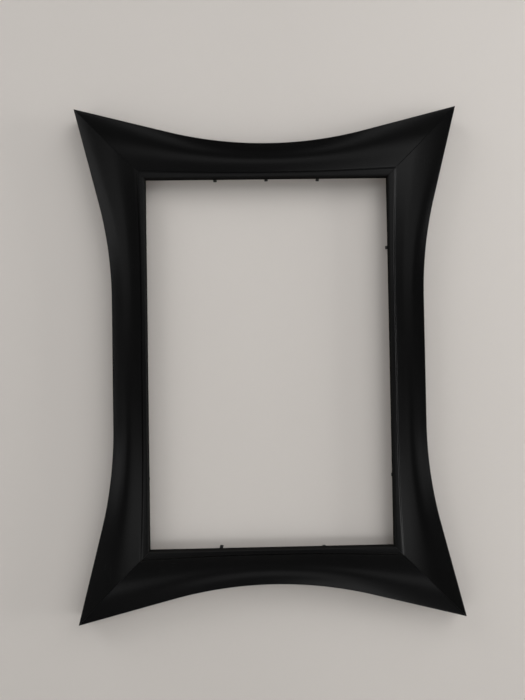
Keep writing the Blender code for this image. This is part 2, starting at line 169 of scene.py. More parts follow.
# Screw: its thread starts at a length below the head and leaves out a length of the shank; the
# roots are shares of the shank's width, the pitch and the point's start of its length
HEAD_HEIGHT = 0.0022
HEAD_FOOT = 0.94
HEAD_STEPS = 12
TURNED_STEPS = 48
SHANK_DIAMETER = 0.0035
SCREW_TURNS = {"left": 24, "right": -13}
THREADS = 9
THREAD_START = 0.001
THREAD_LEFT_OUT = 0.003
THREAD_ROOT = 0.36
THREAD_PITCH = 0.04
POINT_START = 0.85
POINT_ROOT = 0.33
RECESS_SPAN = 0.0036
RECESS_SLOT = 0.0009
RECESS_DEPTH = 0.0013
RECESS_OVER = 0.0005
RECESS_FLARE = 1.12
RECESS_TAPER = 0.55

# Bumper: its face is a share of its base; the hollow is (share of the face, share of the height)
# and the foot (share of the base, share of the height)
BUMPER_FACE = 0.72
BUMPER_STEPS = 10
BUMPER_HOLLOW = ((0.0, 0.94), (0.55, 0.95), (0.8, 1.0))
BUMPER_FOOT = ((1.0, 0.16), (0.985, 0.12), (0.985, 0.0), (0.0, 0.0))

# Faces that meet at more than this angle, in degrees, show an edge
SHARP_RAIL = 40
SHARP_SHEET = 35
SHARP_STRAP = 30
SHARP_RECESS = 30
SHARP_TURNED = 40

# How each framing point was left by hand: degrees of lean and twist, and millimetres past the rest
HAND_SET = {
    "point_top_left": (3, 5, 1.2),
    "point_top_middle": (-2, -4, 0.8),
    "point_top_right": (-4, 6, 1.4),
    "point_right_upper": (9, -14, 1.6),
    "point_right_lower": (2, 3, -0.6),
    "point_bottom_left": (-16, 14, 2.2),
    "point_bottom_right": (2, -3, -1.2),
    "point_left_upper": (-3, 4, -1.4),
    "point_left_lower": (2, 2, -1.0),
}

# Camera at the photograph's viewing angle, in a picture of 525 x 700 pixels
CAMERA_PLACE = (-0.0251, -0.8527, 0.0054)
CAMERA_DEGREES = (91.008, 0.940, -0.927)
PICTURE_WIDTH, PICTURE_HEIGHT = 525, 700
FOCAL_PIXELS = 526.0
CENTRE_PIXEL = (262.0, 349.5)
SENSOR = 36.0

# Colours of the finishes
PAINT_BLACK = (0.0024, 0.0024, 0.0025)
PAINT_HAZE = (0.0040, 0.0040, 0.0040)
PAINT_GRIT = (0.016, 0.016, 0.016)
PAINT_WORN = (0.060, 0.050, 0.040)
BOARD_DARK = (0.235, 0.150, 0.085)
BOARD_LIGHT = (0.400, 0.285, 0.180)
# Matt black, dark to light; the light end also carries the painted edge highlight
SOAKED_DARK = (0.0030, 0.0031, 0.0031)
SOAKED_LIGHT = (0.0135, 0.0132, 0.0128)
RUBBER_DARK = (0.030, 0.030, 0.031)
RUBBER_DUST = (0.110, 0.106, 0.100)
WALL_LIGHT = (0.578, 0.546, 0.515)
WALL_SHADE = (0.548, 0.516, 0.486)
FLOOR_DARK = (0.50, 0.49, 0.47)
FLOOR_LIGHT = (0.58, 0.57, 0.55)

# Steels: light tone, dark tone, roughness, and the scratches' fineness in each direction
STEELS = {
    "zinc_steel": ((0.66, 0.66, 0.64), (0.46, 0.46, 0.46), 0.24, (2600, 2600, 160)),
    "nail_steel": ((0.56, 0.55, 0.53), (0.36, 0.35, 0.33), 0.32, (400, 2200, 400)),
    # The framing points' steel has very dark tones: painted shade, standing in for the frame's
    # shadow on them
    "point_steel": ((0.095, 0.093, 0.090), (0.045, 0.044, 0.043), 0.40, (3000, 3000, 200)),
}
STAIN_SHADE = 0.45

# Stage: wall, floor and surroundings
GAP_REACH = 0.012
STAGE_HALF_WIDTH = 3.5
FLOOR_FRONT = 1.4
FLOOR_BACK = 3.5
WALL_TOP = 2.4
FLOOR_Z = -1.5
SURROUNDINGS = 0.17

# Lamps: azimuth, elevation, distance, width, height, glow and spread
LAMPS = {
    "scoop_glow": (4, 19, 4.0, 3.0, 1.4, 1.45, 180),
    "key": (46, 40, 3.0, 2.4, 2.2, 2.7, 180),
    "fill": (-60, 42, 3.0, 1.6, 1.6, 4.3, 110),
    "window": (79, -1, 1.8, 0.55, 1.6, 16.5, 50),
    "low_right": (44, -20, 3.0, 1.5, 0.7, 3.0, 180),
    "low_corner_right": (21, -16, 3.0, 0.8, 0.7, 1.8, 180),
    "low_corner_left": (-17, -17, 3.0, 0.5, 0.7, 1.3, 180),
    "low_left": (-34, -19, 3.0, 1.2, 0.7, 2.4, 180),
    "low_far_left": (-60, -22, 3.0, 1.4, 0.8, 2.2, 180),
    "back_key": (145, 35, 3.0, 2.0, 2.0, 4.0, 180),
    "back_fill": (-150, 20, 3.0, 2.0, 2.0, 3.0, 180),
}

RAIL_TURNS = {"top": 0, "right": 90, "bottom": 180, "left": 270}
RAIL_HALVES = {
    "top": (SIGHT_HALF_WIDTH, SIGHT_HALF_HEIGHT),
    "right": (SIGHT_HALF_HEIGHT, SIGHT_HALF_WIDTH),
    "bottom": (SIGHT_HALF_WIDTH, SIGHT_HALF_HEIGHT),
    "left": (SIGHT_HALF_HEIGHT, SIGHT_HALF_WIDTH),
}
# The corners at a rail's two ends, in its own x direction
RAIL_ENDS = {
    "top": ("top_left", "top_right"),
    "right": ("top_right", "bottom_right"),
    "bottom": ("bottom_right", "bottom_left"),
    "left": ("bottom_left", "top_left"),
}


class Value:
    """A socket of a material on which arithmetic adds Math nodes."""

    def __init__(self, finish, socket):
        self.finish = finish
        self.socket = socket

    def math(self, operation, *values):
        """A Math node fed with these values, in their order."""
        return self.finish.node("ShaderNodeMath", {"operation": operation}, dict(enumerate(values)))

    def __add__(self, other):
        return self.math("ADD", self, other)

    __radd__ = __add__

    def __sub__(self, other):
        return self.math("SUBTRACT", self, other)

    def __rsub__(self, other):
        return self.math("SUBTRACT", other, self)

    def __mul__(self, other):
        return self.math("MULTIPLY", self, other)

    def most(self, other):
        """The larger of two values."""
        return self.math("MAXIMUM", self, other)

    def over(self, other):
        """1 where this value is above the other, and 0 elsewhere."""
        return self.math("GREATER_THAN", self, other)

    def rise(self, low, high):
        """0 below low, 1 above high, and a smooth step between them."""
        settings = {"interpolation_type": "SMOOTHSTEP"}
        values = {"Value": self, "From Min": low, "From Max": high}
        return self.finish.node("ShaderNodeMapRange", settings, values)


class Finish:
    """A material in the making: its tree, its Principled shader and the nodes that feed it."""

    def __init__(self, name, constants):
        self.material = bpy.data.materials.new(name)
        self.material.use_nodes = True
        self.tree = self.material.node_tree
        self.shader = self.tree.nodes["Principled BSDF"]
        for socket, value in constants.items():
            self.shader.inputs[socket].default_value = value

    def feed(self, socket, value):
        """Links a value to a socket, or sets the socket to it."""
        if isinstance(value, Value):
            self.tree.links.new(value.socket, socket)
        else:
            socket.default_value = value

    def node(self, kind, settings, values, output=0):
        """Adds a node: its settings first, then its sockets, by name, identifier or number."""
        made = self.tree.nodes.new(kind)
        for name, setting in settings.items():
            setattr(made, name, setting)
        for key, value in values.items():
            self.feed(self.find(made.inputs, key), value)
        return Value(self, self.find(made.outputs, output))

    @staticmethod
    def find(sockets, key):
        """A socket by its number, identifier or name."""
        if isinstance(key, int):
            return sockets[key]
        for socket in sockets:
            if socket.identifier == key:
                return socket
        return sockets[key]

    def place(self, stretch=(1, 1, 1)):
        """Position on the piece in metres, times a stretch for each direction."""
        here = self.node("ShaderNodeTexCoord", {}, {}, "Object")
        if stretch == (1, 1, 1):
            return here
        return self.node("ShaderNodeVectorMath", {"operation": "MULTIPLY"}, {0: here, 1: stretch})

    def noise(self, scale, detail=2.0, roughness=0.5, stretch=(1, 1, 1), shift=0.0):
        """Fractal noise from 0 to 1; scale is in cycles for each metre."""
        values = {"Vector": self.place(stretch), "W": shift}
        values |= {"Scale": scale, "Detail": detail, "Roughness": roughness}
        return self.node("ShaderNodeTexNoise", {"noise_dimensions": "4D"}, values)

    def attribute(self, name):
        """A value stored on the mesh's points."""
        return self.node("ShaderNodeAttribute", {"attribute_name": name}, {}, "Fac")

    def blend(self, first, second, share):
        """A colour between two colours."""
        values = {"Factor_Float": share, "A_Color": first, "B_Color": second}
        return self.node("ShaderNodeMix", {"data_type": "RGBA"}, values, "Result_Color")

    def give(self, socket, value):
        """Feeds one of the Principled shader's sockets."""
        self.feed(self.shader.inputs[socket], value)

    def bump(self, height, depth, strength=1.0):
        """Surface relief from a height of 0 to 1, with its depth in metres."""
        values = {"Height": height, "Distance": depth, "Strength": strength}
        self.give("Normal", self.node("ShaderNodeBump", {}, values))


def colour(shade):
    """A colour for a socket, from its red, green and blue."""
    return (*shade, 1.0)


def satin_paint():
    """Satin black paint over fine fibreboard; the back is bare board with overspray."""
    paint = Finish("satin_black_paint", {"Specular IOR Level": 0.08})
    edge = paint.attribute("arris")
    bare = paint.attribute("bare")
    dull = paint.attribute("dull")
    peel = paint.noise(900, 2.0, 0.55)
    sanding = paint.noise(1, 3.0, 0.6, (30, 1100, 1100))
    haze = paint.noise(14, 4.0, 0.6, shift=3.0)
    grit = paint.noise(2400, 1.0, 0.5, shift=8.0).rise(0.70, 0.76)
    fibre = paint.noise(1, 4.0, 0.7, (260, 700, 700), shift=5.0)
    drift = paint.noise(22, 3.0, 0.5, shift=2.0) - 0.5
    speckle = paint.noise(1500, 2.0, 0.6, shift=10.0) - 0.5
    board = (bare + drift * 0.45 + speckle * 0.55).rise(0.34, 0.72)
    burnish = edge * paint.noise(45, 4.0, 0.65, shift=12.0).rise(0.45, 0.75)
    worn = edge * paint.noise(240, 3.0, 0.6, shift=15.0).rise(0.66, 0.72)

    black = paint.blend(colour(PAINT_BLACK), colour(PAINT_HAZE), haze)
    black = paint.blend(black, colour(PAINT_GRIT), grit * 0.35 + burnish * 0.25)
    black = paint.blend(black, colour(PAINT_WORN), worn * 0.5)
    tan = paint.blend(colour(BOARD_DARK), colour(BOARD_LIGHT), fibre)
    paint.give("Base Color", paint.blend(black, tan, board))
    satin = 0.21 + haze * 0.06 + sanding * 0.04 + grit * 0.12 - burnish * 0.04
    paint.give("Roughness", satin + board * 0.5 + dull * 0.6)
    relief = peel * 0.35 + sanding * 0.25 + grit * 0.3 + board * (fibre * 1.6 - 0.3)
    paint.bump(relief, 0.00003)
    return paint.material


def matt_black():
    """Thin matt black where the paint soaked in: the sight edge and the mitres' open edges, with a
    painted highlight along the edges.
    """
    black = Finish("matt_black_edge", {"Specular IOR Level": 0.0})
    grain = black.noise(1, 4.0, 0.7, (260, 900, 900))
    # The edge value lightens the matt colour: a painted highlight on the sight edge and the lip's
    # inner round
    painted_edge_highlight = black.attribute("arris")
    lightness = grain * 0.3 + painted_edge_highlight * 1.6
    black.give("Base Color", black.blend(colour(SOAKED_DARK), colour(SOAKED_LIGHT), lightness))
    black.give("Roughness", 0.80 + grain * 0.15)
    black.bump(grain, 0.00004)
    return black.material


def steel_finish(name):
    """Plated or rolled steel: blotchy tone, small stains and fine scratches along one direction."""
    light, dark, rough, across = STEELS[name]
    steel = Finish(name, {"Metallic": 1.0})
    blotch = steel.noise(260, 3.0, 0.6)
    scratch = steel.noise(1, 3.0, 0.7, across, shift=4.0)
    stain = steel.noise(700, 4.0, 0.7, shift=9.0).rise(0.62, 0.72)
    tone = steel.blend(colour(dark), colour(light), blotch * 0.6 + scratch * 0.4)
    stained = colour([STAIN_SHADE * part for part in dark])
    steel.give("Base Color", steel.blend(tone, stained, stain * 0.5))
    steel.give("Roughness", rough + blotch * 0.10 + scratch * 0.08 + stain * 0.18)
    steel.bump(scratch * 0.6 + blotch * 0.5 - stain * 0.4, 0.000012)
    return steel.material


def bumper_rubber():
    """Dark moulded rubber with a fine dusty texture."""
    rubber = Finish("bumper_rubber", {"Specular IOR Level": 0.35})
    dust = rubber.noise(900, 4.0, 0.7)
    mould = rubber.noise(2600, 2.0, 0.5, shift=6.0)
    tone = rubber.blend(colour(RUBBER_DARK), colour(RUBBER_DUST), dust.rise(0.45, 0.80))
    rubber.give("Base Color", tone)
    rubber.give("Roughness", 0.62 + dust * 0.25)
    rubber.bump(mould * 0.6 + dust * 0.4, 0.00003)
    return rubber.material


def wall_paint():
    """Matt wall paint; clear from behind, and for light that starts in the gap behind the frame."""
    wall = Finish("wall_paint", {"Roughness": 0.85, "Specular IOR Level": 0.2})
    roller = wall.noise(420, 3.0, 0.6)
    patch = wall.noise(2.2, 3.0, 0.5, shift=7.0)
    wall.give("Base Color", wall.blend(colour(WALL_SHADE), colour(WALL_LIGHT), patch))
    wall.bump(roller, 0.00012, 0.6)
    reach = wall.node("ShaderNodeLightPath", {}, {}, "Ray Length")
    behind = wall.node("ShaderNodeNewGeometry", {}, {}, "Backfacing")
    gap = 1 - reach.over(GAP_REACH)
    clear = wall.node("ShaderNodeBsdfTransparent", {}, {})
    shader = Value(wall, wall.shader.outputs[0])
    mixed = wall.node("ShaderNodeMixShader", {}, {0: gap.most(behind), 1: shader, 2: clear})
    output = wall.tree.nodes["Material Output"]
    wall.feed(output.inputs["Surface"], mixed)
    return wall.material


def floor_paint():
    """Pale matt floor."""
    floor = Finish("pale_floor", {"Roughness": 0.75, "Specular IOR Level": 0.3})
    cloud = floor.noise(3.0, 4.0, 0.6)
    floor.give("Base Color", floor.blend(colour(FLOOR_DARK), colour(FLOOR_LIGHT), cloud))
    floor.bump(floor.noise(300, 2.0, 0.5), 0.0001, 0.5)
    return floor.material


def arc_points(centre, radius, start, end, steps):
    """Points on a circular arc, end points included; angles in degrees."""
    points = []
    for i in range(steps + 1):
        angle = math.radians(start + (end - start) * i / steps)
        points.append((centre[0] + radius * math.cos(angle), centre[1] + radius * math.sin(angle)))
    return points


def sweep_points(start, start_slope, end, end_slope, steps):
    """Points on a cubic curve between two points with given slopes, the first left out."""
    run = end[0] - start[0]
    points = []
    for i in range(1, steps + 1):
        u = i / steps
        a = (1 + 2 * u) * (1 - u) ** 2
        b = u * (1 - u) ** 2
        c = u * u * (3 - 2 * u)
        d = u * u * (u - 1)
        h = a * start[1] + b * run * start_slope + c * end[1] + d * run * end_slope
        points.append((start[0] + run * u, h))
    return points


def smooth(value):
    """A smooth step from 0 to 1."""
    value = min(max(value, 0.0), 1.0)
    return value * value * (3 - 2 * value)


def flare_angle():
    """Angle of a flare's straight part, which runs into an arc that ends level."""
    drop = TIP_OFFSET - MID_RAIL_WIDTH
    rise = 2 * FLARE_RADIUS - drop
    half_tangent = (FLARE_RUN - math.sqrt(FLARE_RUN**2 - rise * drop)) / rise
    return 2 * math.atan(half_tangent)


def rail_width(from_tip):
    """Width of a rail from its sight edge to its outer edge, at this distance from the tip."""
    to_level = FLARE_RUN - from_tip
    if to_level <= 0:
        return MID_RAIL_WIDTH
    if to_level >= FLARE_RADIUS * math.sin(FLARE_ANGLE):
        return TIP_OFFSET - from_tip * math.tan(FLARE_ANGLE)
    return MID_RAIL_WIDTH + FLARE_RADIUS - math.sqrt(FLARE_RADIUS**2 - to_level**2)


def arris_points():
    """The rounded outer edge at mid rail, from the top of the scoop to the side."""
    centre = (MID_RAIL_WIDTH - ARRIS_RADIUS, RIM_HEIGHT - ARRIS_RADIUS)
    return arc_points(centre, ARRIS_RADIUS, 90 + RIM_TILT, 0, ARRIS_STEPS)


def scoop_points():
    """The shaped face at mid rail: inner wall, lip and scoop, up to the outer edge."""
    inner_centre = (LIP_INNER_RADIUS, LIP_HEIGHT - LIP_INNER_RADIUS)
    inner = arc_points(inner_centre, LIP_INNER_RADIUS, 180, 90 + LIP_TILT, INNER_STEPS)
    crest = (LIP_CREST_T, LIP_HEIGHT)
    foot = (LIP_FOOT_T, LIP_FOOT_HEIGHT)
    floor = (FLOOR_T, FLOOR_HEIGHT)
    lip_slope = math.tan(math.radians(LIP_TILT))
    rim_slope = math.tan(math.radians(RIM_TILT))
    points = [(0.0, LIP_HEIGHT * INNER_WALL_SHARE)] + inner
    points += sweep_points(inner[-1], lip_slope, crest, 0.0, CREST_STEPS)
    points += sweep_points(crest, 0.0, foot, FOOT_SLOPE, FOOT_STEPS)
    points += sweep_points(foot, FOOT_SLOPE, floor, 0.0, FLOOR_STEPS)
    return points + sweep_points(floor, 0.0, ARRIS[0], rim_slope, SCOOP_STEPS)


def rail_section(width):
    """The whole section at a rail width, as (t, h, edge value, bareness, dullness); the edge value
    is worn paint on satin faces and a painted highlight on matt ones.
    """
    stretch = (width - ARRIS_WIDTH) / (MID_RAIL_WIDTH - ARRIS_WIDTH)
    rows = [(0.0, LEDGE_HEIGHT + LEDGE_EASE, *SIGHT_PAINT)]
    for t, h in SCOOP:
        near_lip = 1 - smooth(abs(t - LIP_INNER_RADIUS) / LIP_CREST_T * LIP_WEAR_FALL)
        near_rim = 1 - smooth((MID_RAIL_WIDTH - t) / RIM_WEAR_WIDTH)
        dullness = 1 - smooth(t / LIP_INNER_RADIUS)
        rows.append((t * stretch, h, max(near_lip * LIP_WEAR, near_rim), 0.0, dullness))
    for t, h in ARRIS[1:]:
        rows.append((width - (MID_RAIL_WIDTH - t), h, *ARRIS_PAINT))
    for share in OUTER_SIDE_SHARES:
        h = BACK_ARRIS + (RIM_HEIGHT - BACK_ARRIS) * share
        rows.append((width, h, *OUTER_SIDE_PAINT))
    cut = BACK_ARRIS * BACK_ARRIS_SHARE
    rows.append((width, BACK_ARRIS, *OUTER_FOOT_PAINT))
    rows.append((width - cut, cut, *BACK_ARRIS_PAINT))
    rows.append((width - BACK_ARRIS, 0.0, *BACK_EDGE_PAINT))
    flat = width - BACK_ARRIS - REBATE_WIDTH
    for share in BACK_SHARES:
        from_edge = 1 - abs(2 * share - 1)
        bare = min(1.0, BACK_BARE_EDGE + from_edge * BACK_BARE_RISE)
        rows.append((REBATE_WIDTH + flat * share, 0.0, 0.0, bare, 0.0))
    for across, up, paint in REBATE_ROWS:
        rows.append((REBATE_WIDTH * across, LEDGE_HEIGHT * up, *paint))
    rows.append((LEDGE_EASE, LEDGE_HEIGHT, *LEDGE_EDGE_PAINT))
    return rows


def mitre_end(index, sight_half):
    """Where a section point meets the mitre, as a distance along the rail from its middle."""
    tip = sight_half + TIP_OFFSET
    along = sight_half
    for _ in range(MITRE_ROUNDS):
        t = rail_section(rail_width(tip - along))[index][0]
        along = sight_half + t - SEAM_HALF * math.sqrt(2)
    return along


def end_places(end, core, ease):
    """Places along one half of a rail: even rows to the core, then rows that close on the mitre."""
    places = [core * i / CORE_ROWS for i in range(CORE_ROWS + 1)]
    reach = end - SEAM_SETTLE - core
    places += [core + reach * i / MITRE_ROWS for i in range(1, MITRE_ROWS + 1)]
    return places + [end - SEAM_SETTLE * SETTLE_ROW, end - ease, end - ease / 2, end]


def half_rail(sight_half, corner):
    """Rows from a rail's middle to one mitre, as (place, t, h, edge value, bareness, dullness)."""
    tip = sight_half + TIP_OFFSET
    core = sight_half - SHORT_OF_MITRE
    depth, ease, seam_dullness = SEAMS[corner]
    ends = [mitre_end(i, sight_half) for i in range(len(rail_section(MID_RAIL_WIDTH)))]
    columns = []
    for i, end in enumerate(ends):
        column = []
        for place in end_places(end, core, ease):
            t, h, wear_and_highlight, bareness, dullness = rail_section(rail_width(tip - place))[i]
            close = 1 - smooth((end - place) / ease)
            if h > LEDGE_HEIGHT:
                h -= depth * close
                dullness = max(dullness, seam_dullness * close)
                wear_and_highlight *= 1 - close
            column.append((place, min(t, TIP_REACH), h, wear_and_highlight, bareness, dullness))
        columns.append(column)
    return [list(row) for row in zip(*columns)]


def rail_piece(side):
    """A finished rail with its section lofted along its flare, replacing the plain one."""
    sight_half = RAIL_HALVES[side][0]
    first, last = RAIL_ENDS[side]
    start = [[(-place, *rest) for place, *rest in row] for row in half_rail(sight_half, first)]
    rows = start[:0:-1] + half_rail(sight_half, last)
    mesh = bmesh.new()
    layers = [mesh.verts.layers.float.new(name) for name in ("arris", "bare", "dull")]
    grid = []
    for row in rows:
        line = []
        for along, t, h, *paint in row:
            vert = mesh.verts.new((along, -h, t))
            for layer, value in zip(layers, paint):
                vert[layer] = value
            line.append(vert)
        grid.append(line)
    skin_rings(mesh, grid)
    for face in mesh.faces:
        dullness = sum(vert[layers[-1]] for vert in face.verts) / len(face.verts)
        face.material_index = int(dullness >= MATT_FROM)
    name = side + "_rail_painted"
    rail = add_piece(name, mesh, SATIN, rail_frame(side), SHARP_RAIL)
    rail.data.materials.append(MATT_BLACK)
    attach(rail, "frame")
    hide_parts(side + "_rail")


def rail_frame(side):
    """From a rail's own frame to the world."""
    spin = Matrix.Rotation(math.radians(RAIL_TURNS[side]), 4, "Y")
    out = Matrix.Translation((0, 0, RAIL_HALVES[side][1]))
    return Matrix.Translation((0, BACK_Y, 0)) @ spin @ out


def add_piece(name, mesh, finish, matrix, sharp_degrees):
    """A piece from a bmesh, in its finish, with its round faces shaded smooth."""
    bmesh.ops.recalc_face_normals(mesh, faces=mesh.faces)
    data = bpy.data.meshes.new(name)
    mesh.to_mesh(data)
    mesh.free()
    data.materials.append(finish)
    data.shade_smooth()
    data.set_sharp_from_angle(angle=math.radians(sharp_degrees))
    piece = bpy.data.objects.new(name, data)
    piece.matrix_world = matrix
    bpy.context.scene.collection.objects.link(piece)
    return piece


def prism(outline, near, far):
    """A closed prism: an outline in x and z, from y = near to y = far."""
    mesh = bmesh.new()
    front = [mesh.verts.new((x, near, z)) for x, z in outline]
    back = [mesh.verts.new((x, far, z)) for x, z in outline]
    mesh.faces.new(front)
    mesh.faces.new(back[::-1])
    for i in range(len(outline)):
        j = (i + 1) % len(outline)
        mesh.faces.new((front[i], back[i], back[j], front[j]))
    return mesh


def v_nail_piece(node):
    """A V-nail with curled ends, driven until it is flush with the back."""
    low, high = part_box(node)
    across = math.copysign(1, low.x)
    up = math.copysign(1, low.z)
    corner_x = min(abs(low.x), abs(high.x))
    corner_z = min(abs(low.z), abs(high.z))
    leg = high.x - low.x
    centre = (leg - NAIL_SHEET, NAIL_SHEET + NAIL_CURL)
    curl = arc_points(centre, NAIL_CURL, -90, 90, NAIL_CURL_STEPS)
    half = [(0.0, 0.0)] + curl + [(NAIL_SHEET, NAIL_SHEET)]
    outline = half + [(v, u) for u, v in reversed(half[1:-1])]
    outline = [(across * (corner_x + u), up * (corner_z + v)) for u, v in outline]
    mesh = prism(outline, low.y, BACK_Y + NAIL_PROUD)
    nail = add_piece(node + "_driven", mesh, NAIL_STEEL, Matrix(), SHARP_SHEET)
    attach(nail, "frame")
    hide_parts(node)


def bend_frame(joint, side):
    """A frame on a point's bend line: x along the rail, z outward."""
    spin = Matrix.Rotation(math.radians(RAIL_TURNS[side]), 4, "Y")
    return Matrix.Translation(joint["pos_m"]) @ spin


def shank_piece(node, bend):
    """The driven end of a framing point, out of the wall as far as its bend line."""
    low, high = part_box(node)
    half = POINT_WIDTH / 2
    gap = ((low + high) / 2 - bend.translation).length - POINT_BITE / 2
    shoulder = gap + POINT_BITE - POINT_TAPER
    nose = POINT_SHEET
    outline = [(-half, 0), (half, 0), (half, shoulder), (nose, gap + POINT_BITE)]
    outline += [(-nose, gap + POINT_BITE), (-half, shoulder)]
    mesh = prism(outline, -POINT_SHEET / 2, POINT_SHEET / 2)
    shank = add_piece(node + "_driven", mesh, POINT_STEEL_PAINTED_SHADE, bend, SHARP_SHEET)
    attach(shank, "frame")
    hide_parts(node)


def tongue_rows(length):
    """Half thickness and half width of a tongue at each distance from its bend line, root first."""
    thick = POINT_SHEET / 2
    rows = []
    for angle in ROOT_DEGREES:
        turn = math.radians(angle)
        rows.append((-thick * math.sin(turn), thick * math.cos(turn), POINT_WIDTH / 2))
    for i in range(TONGUE_ROWS):
        down = (length - TONGUE_ROUND) * i / (TONGUE_ROWS - 1)
        rows.append((down, thick, POINT_WIDTH / 2))
    for angle in TIP_DEGREES:
        turn = math.radians(angle)
        down = length - TONGUE_ROUND * (1 - math.sin(turn))
        rows.append((down, thick, POINT_WIDTH / 2 - TONGUE_ROUND * (1 - math.cos(turn))))
    return rows


def tongue_piece(node, bend):
    """The free end of a framing point, leaning and twisted as it was left by hand."""
    low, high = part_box(node + "_tongue")
    lean, twist, past = HAND_SET[node]
    length = max(high.x - low.x, high.z - low.z) - POINT_SHEET / 2 + past / 1000
    mesh = bmesh.new()
    rings = []
    for down, thick, wide in tongue_rows(length):
        share = max(down, 0.0) / length
        turn = math.radians(twist) * share
        shift = math.tan(math.radians(lean)) * length * share
        ring = []
        for x, y in ((-wide, -thick), (wide, -thick), (wide, thick), (-wide, thick)):
            across = x * math.cos(turn) - y * math.sin(turn)
            off = y * math.cos(turn) + x * math.sin(turn)
            ring.append(mesh.verts.new((shift + across, off, -down)))
        rings.append(ring)
    skin_rings(mesh, rings)
    name = node + "_tongue_bent"
    tongue = add_piece(name, mesh, POINT_STEEL_PAINTED_SHADE, bend, SHARP_SHEET)
    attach(tongue, node + "_tongue_body")
    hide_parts(node + "_tongue")


def skin_rings(mesh, rings):
    """Joins rings of points into a closed tube with flat ends."""
    count = len(rings[0])
    for near, far in zip(rings, rings[1:]):
        for i in range(count):
            j = (i + 1) % count
            mesh.faces.new((near[i], near[j], far[j], far[i]))
    mesh.faces.new(rings[0][::-1])
    mesh.faces.new(rings[-1])


def strap_path(back, tail):
    """A strap's centre line, as (height, depth): up along the rail, round the bar and back."""
    under = back + STRAP_SHEET / 2
    over = under + STRAP_SHEET
    eye = EYE_RADIUS + STRAP_SHEET / 2
    path = [(tail + step, under) for step in TAIL_STEPS]
    path += [(tail / 2, under)]
    path += [(up, under + off) for up, off in EYE_LEAD]
    path += arc_points((0, 0), eye, *EYE_ARC)
    path += [(up, over + off) for up, off in EYE_RETURN]
    path += [(tail / 2, over)]
    return path + [(tail + step, over) for step in reversed(TAIL_STEPS)]


def strap_piece(side, axis):
    """A strap folded from one sheet round the ring's bar, with a rounded tail."""
    node = f"hanger_{side}_strap"
    low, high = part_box(node)
    half = (high.x - low.x) / 2
    tail = low.z - axis.z
    path = strap_path(low.y - axis.y, tail)
    mesh = bmesh.new()
    rings = []
    for i, (up, deep) in enumerate(path):
        before = path[max(i - 1, 0)]
        after = path[min(i + 1, len(path) - 1)]
        run = Vector((after[0] - before[0], after[1] - before[1])).normalized()
        off = Vector((-run.y, run.x)) * STRAP_SHEET * FOLD_SLACK / 2
        from_end = STRAP_CORNER - min(up - tail, STRAP_CORNER)
        wide = half - STRAP_CORNER + math.sqrt(STRAP_CORNER**2 - from_end**2)
        ring = []
        for x, sign in ((-wide, -1), (wide, -1), (wide, 1), (-wide, 1)):
            ring.append(mesh.verts.new((x, deep + sign * off.y, up + sign * off.x)))
        rings.append(ring)
    skin_rings(mesh, rings)
    place = Matrix.Translation(axis)
    strap = add_piece(node + "_folded", mesh, ZINC, place, SHARP_STRAP)
    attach(strap, "frame")
    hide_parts(node)


def ring_piece(side, axis):
    """A bent wire ring, D-shaped, with its bar on the joint's axis."""
    node = f"hanger_{side}_ring"
    low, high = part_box(node)
    half = (high.x - low.x - RING_WIRE) / 2
    drop = high.z - low.z - RING_WIRE
    corner = half - RING_CORNER
    points = arc_points((corner, -RING_CORNER), RING_CORNER, 90, 0, RING_CORNER_STEPS)
    points += arc_points((0, half - drop), half, 0, -180, RING_BOW_STEPS)
    points += arc_points((-corner, -RING_CORNER), RING_CORNER, 180, 90, RING_CORNER_STEPS)
    curve = bpy.data.curves.new(node, "CURVE")
    curve.dimensions = "3D"
    curve.bevel_depth = RING_WIRE / 2
    curve.bevel_resolution = WIRE_STEPS
    spline = curve.splines.new("POLY")
    spline.points.add(len(points) - 1)
    spline.use_cyclic_u = True
    spline.use_smooth = True
    for point, (x, z) in zip(spline.points, points):
        point.co = (x, 0, z, 1)
    curve.materials.append(ZINC)
    ring = bpy.data.objects.new(node + "_wire", curve)
    ring.location = axis
    bpy.context.scene.collection.objects.link(ring)
    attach(ring, "ring_" + side)
    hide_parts(node)


def turned(profile):
    """A closed round mesh from a profile of (radius, y) points that starts and ends on its axis."""
    steps = TURNED_STEPS
    mesh = bmesh.new()
    first = mesh.verts.new((0, profile[0][1], 0))
    last = mesh.verts.new((0, profile[-1][1], 0))
    turns = [2 * math.pi * i / steps for i in range(steps)]
    rings = []
    for radius, y in profile[1:-1]:
        circle = [(radius * math.cos(turn), y, radius * math.sin(turn)) for turn in turns]
        rings.append([mesh.verts.new(point) for point in circle])
    for i in range(steps):
        j = (i + 1) % steps
        mesh.faces.new((first, rings[0][i], rings[0][j]))
        mesh.faces.new((last, rings[-1][j], rings[-1][i]))
        for near, far in zip(rings, rings[1:]):
            mesh.faces.new((near[i], far[i], far[j], near[j]))
    return mesh


def cross_recess(place):
    """A tapered cross-shaped punch for a screw's recess."""
    mesh = bmesh.new()
    rings = []
    for depth, scale in ((RECESS_OVER, RECESS_FLARE), (-RECESS_DEPTH, RECESS_TAPER)):
        a, b = RECESS_SPAN / 2 * scale, RECESS_SLOT / 2
        quarter = [(a, -b), (a, b), (b, b)]
        outline = []
        for turn in range(4):
            for x, z in quarter:
                for _ in range(turn):
                    x, z = -z, x
                outline.append((x, z))
        rings.append([mesh.verts.new((x, depth, z)) for x, z in outline])
    skin_rings(mesh, rings)
    return add_piece("recess_punch", mesh, ZINC, place, SHARP_RECESS)


